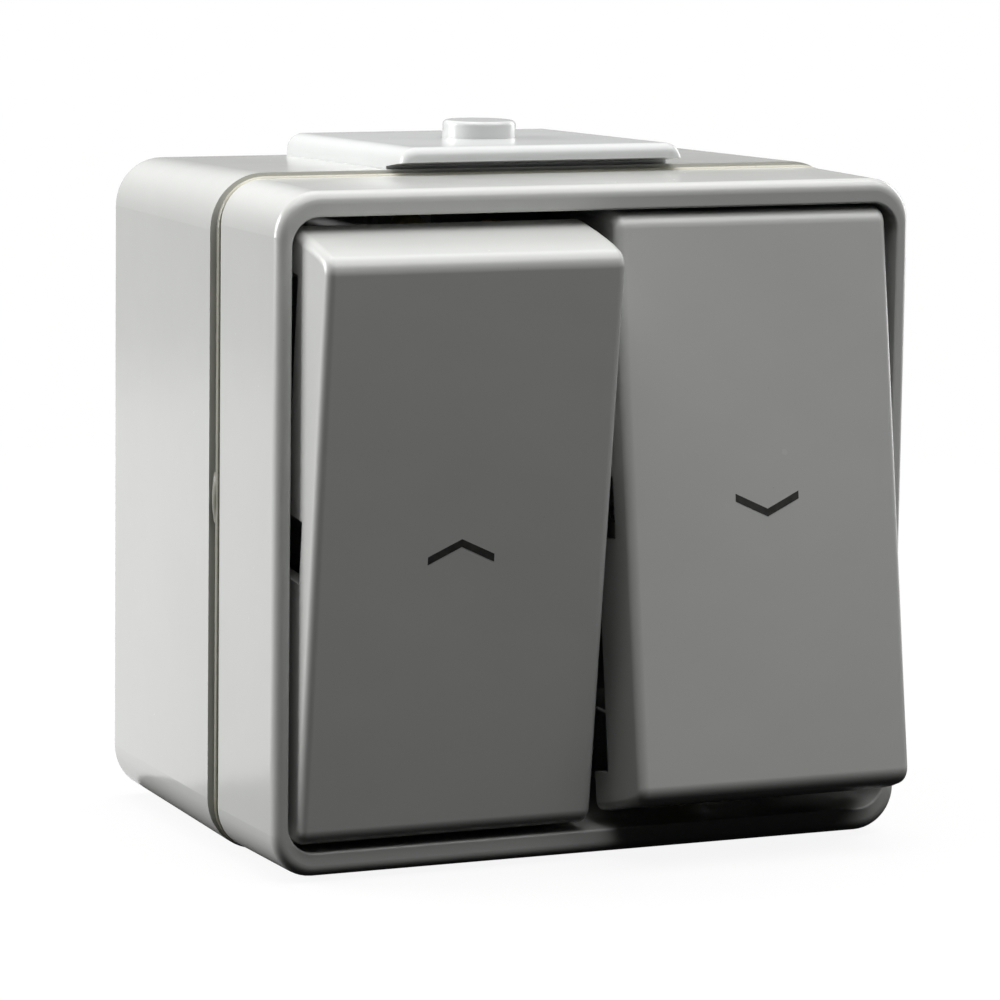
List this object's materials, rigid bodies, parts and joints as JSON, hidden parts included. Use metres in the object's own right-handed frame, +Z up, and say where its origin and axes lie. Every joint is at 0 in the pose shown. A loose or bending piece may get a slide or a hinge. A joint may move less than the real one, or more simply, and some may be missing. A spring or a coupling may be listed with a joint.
{
  "type": "roller shutter switch",
  "caption": "Surface-mounted, splash-proof roller shutter switch: wall box with seal and front frame, an up rocker and a down rocker on contact seesaws.",
  "frame": {"origin": "centre of the flat rear face that lies on the wall", "axes": "+X to the right as seen by the user, +Y into the wall, +Z up; the rockers face -Y"},
  "size_m": [0.0784, 0.0594, 0.0807],
  "materials": {
    "housing_plastic": "smooth, light gloss",
    "rocker_plastic": "smooth, light gloss",
    "entry_plastic": "smooth",
    "seal_rubber": "matt, slightly translucent",
    "insert_plastic": "matt moulded",
    "carrier_plastic": "matt moulded",
    "bridge_steel": "zinc plated sheet",
    "pin_steel": "bright drawn",
    "screw_brass": "brass plated",
    "contact_brass": "stamped sheet",
    "contact_tip": "silver alloy rivet"
  },
  "bodies": {
    "housing": {"base_housing": "housing_plastic", "housing_seal": "seal_rubber", "cover_frame": "housing_plastic", "cable_entry_plate": "entry_plastic", "mounting_bridge": "bridge_steel", "bearing_frame": "insert_plastic", "switch_body": "insert_plastic", "link_strip": "contact_brass", "insert_screw_top": "screw_brass", "insert_screw_bottom": "screw_brass", "cover_screw_1": "screw_brass", "cover_screw_2": "screw_brass", "cover_screw_3": "screw_brass", "cover_screw_4": "screw_brass", "terminal_line": "contact_brass", "terminal_up": "contact_brass", "terminal_down": "contact_brass", "terminal_screw_line": "screw_brass", "terminal_screw_up": "screw_brass", "terminal_screw_down": "screw_brass", "left_pivot_pin": "pin_steel", "right_pivot_pin": "pin_steel", "left_fixed_contact": "contact_brass", "right_fixed_contact": "contact_brass", "left_fixed_tip": "contact_tip", "right_fixed_tip": "contact_tip"},
    "left_rocker_body": {"left_rocker": "rocker_plastic", "left_carrier": "carrier_plastic", "left_plunger": "carrier_plastic", "left_plunger_spring": "pin_steel"},
    "left_seesaw_body": {"left_seesaw": "contact_brass", "left_seesaw_tip": "contact_tip"},
    "right_rocker_body": {"right_rocker": "rocker_plastic", "right_carrier": "carrier_plastic", "right_plunger": "carrier_plastic", "right_plunger_spring": "pin_steel"},
    "right_seesaw_body": {"right_seesaw": "contact_brass", "right_seesaw_tip": "contact_tip"}
  },
  "joints": [
    {"name": "left_rocker_tilt", "type": "hinge", "parent": "housing", "child": "left_rocker_body", "pos_m": [-0.0186, -0.0431, 0], "axis": [1, 0, 0], "range_deg": [-14.4, 0]},
    {"name": "left_seesaw_tilt", "type": "hinge", "parent": "housing", "child": "left_seesaw_body", "pos_m": [-0.0186, -0.0156, 0], "axis": [1, 0, 0], "range_deg": [0, 11.52]},
    {"name": "right_rocker_tilt", "type": "hinge", "parent": "housing", "child": "right_rocker_body", "pos_m": [0.0186, -0.0431, 0], "axis": [1, 0, 0], "range_deg": [0, 14.4]},
    {"name": "right_seesaw_tilt", "type": "hinge", "parent": "housing", "child": "right_seesaw_body", "pos_m": [0.0186, -0.0156, 0], "axis": [1, 0, 0], "range_deg": [-11.52, 0]}
  ],
  "couplings": [
    {"joint": "left_seesaw_tilt", "follows": "left_rocker_tilt", "ratio": -0.8},
    {"joint": "right_seesaw_tilt", "follows": "right_rocker_tilt", "ratio": -0.8}
  ]
}
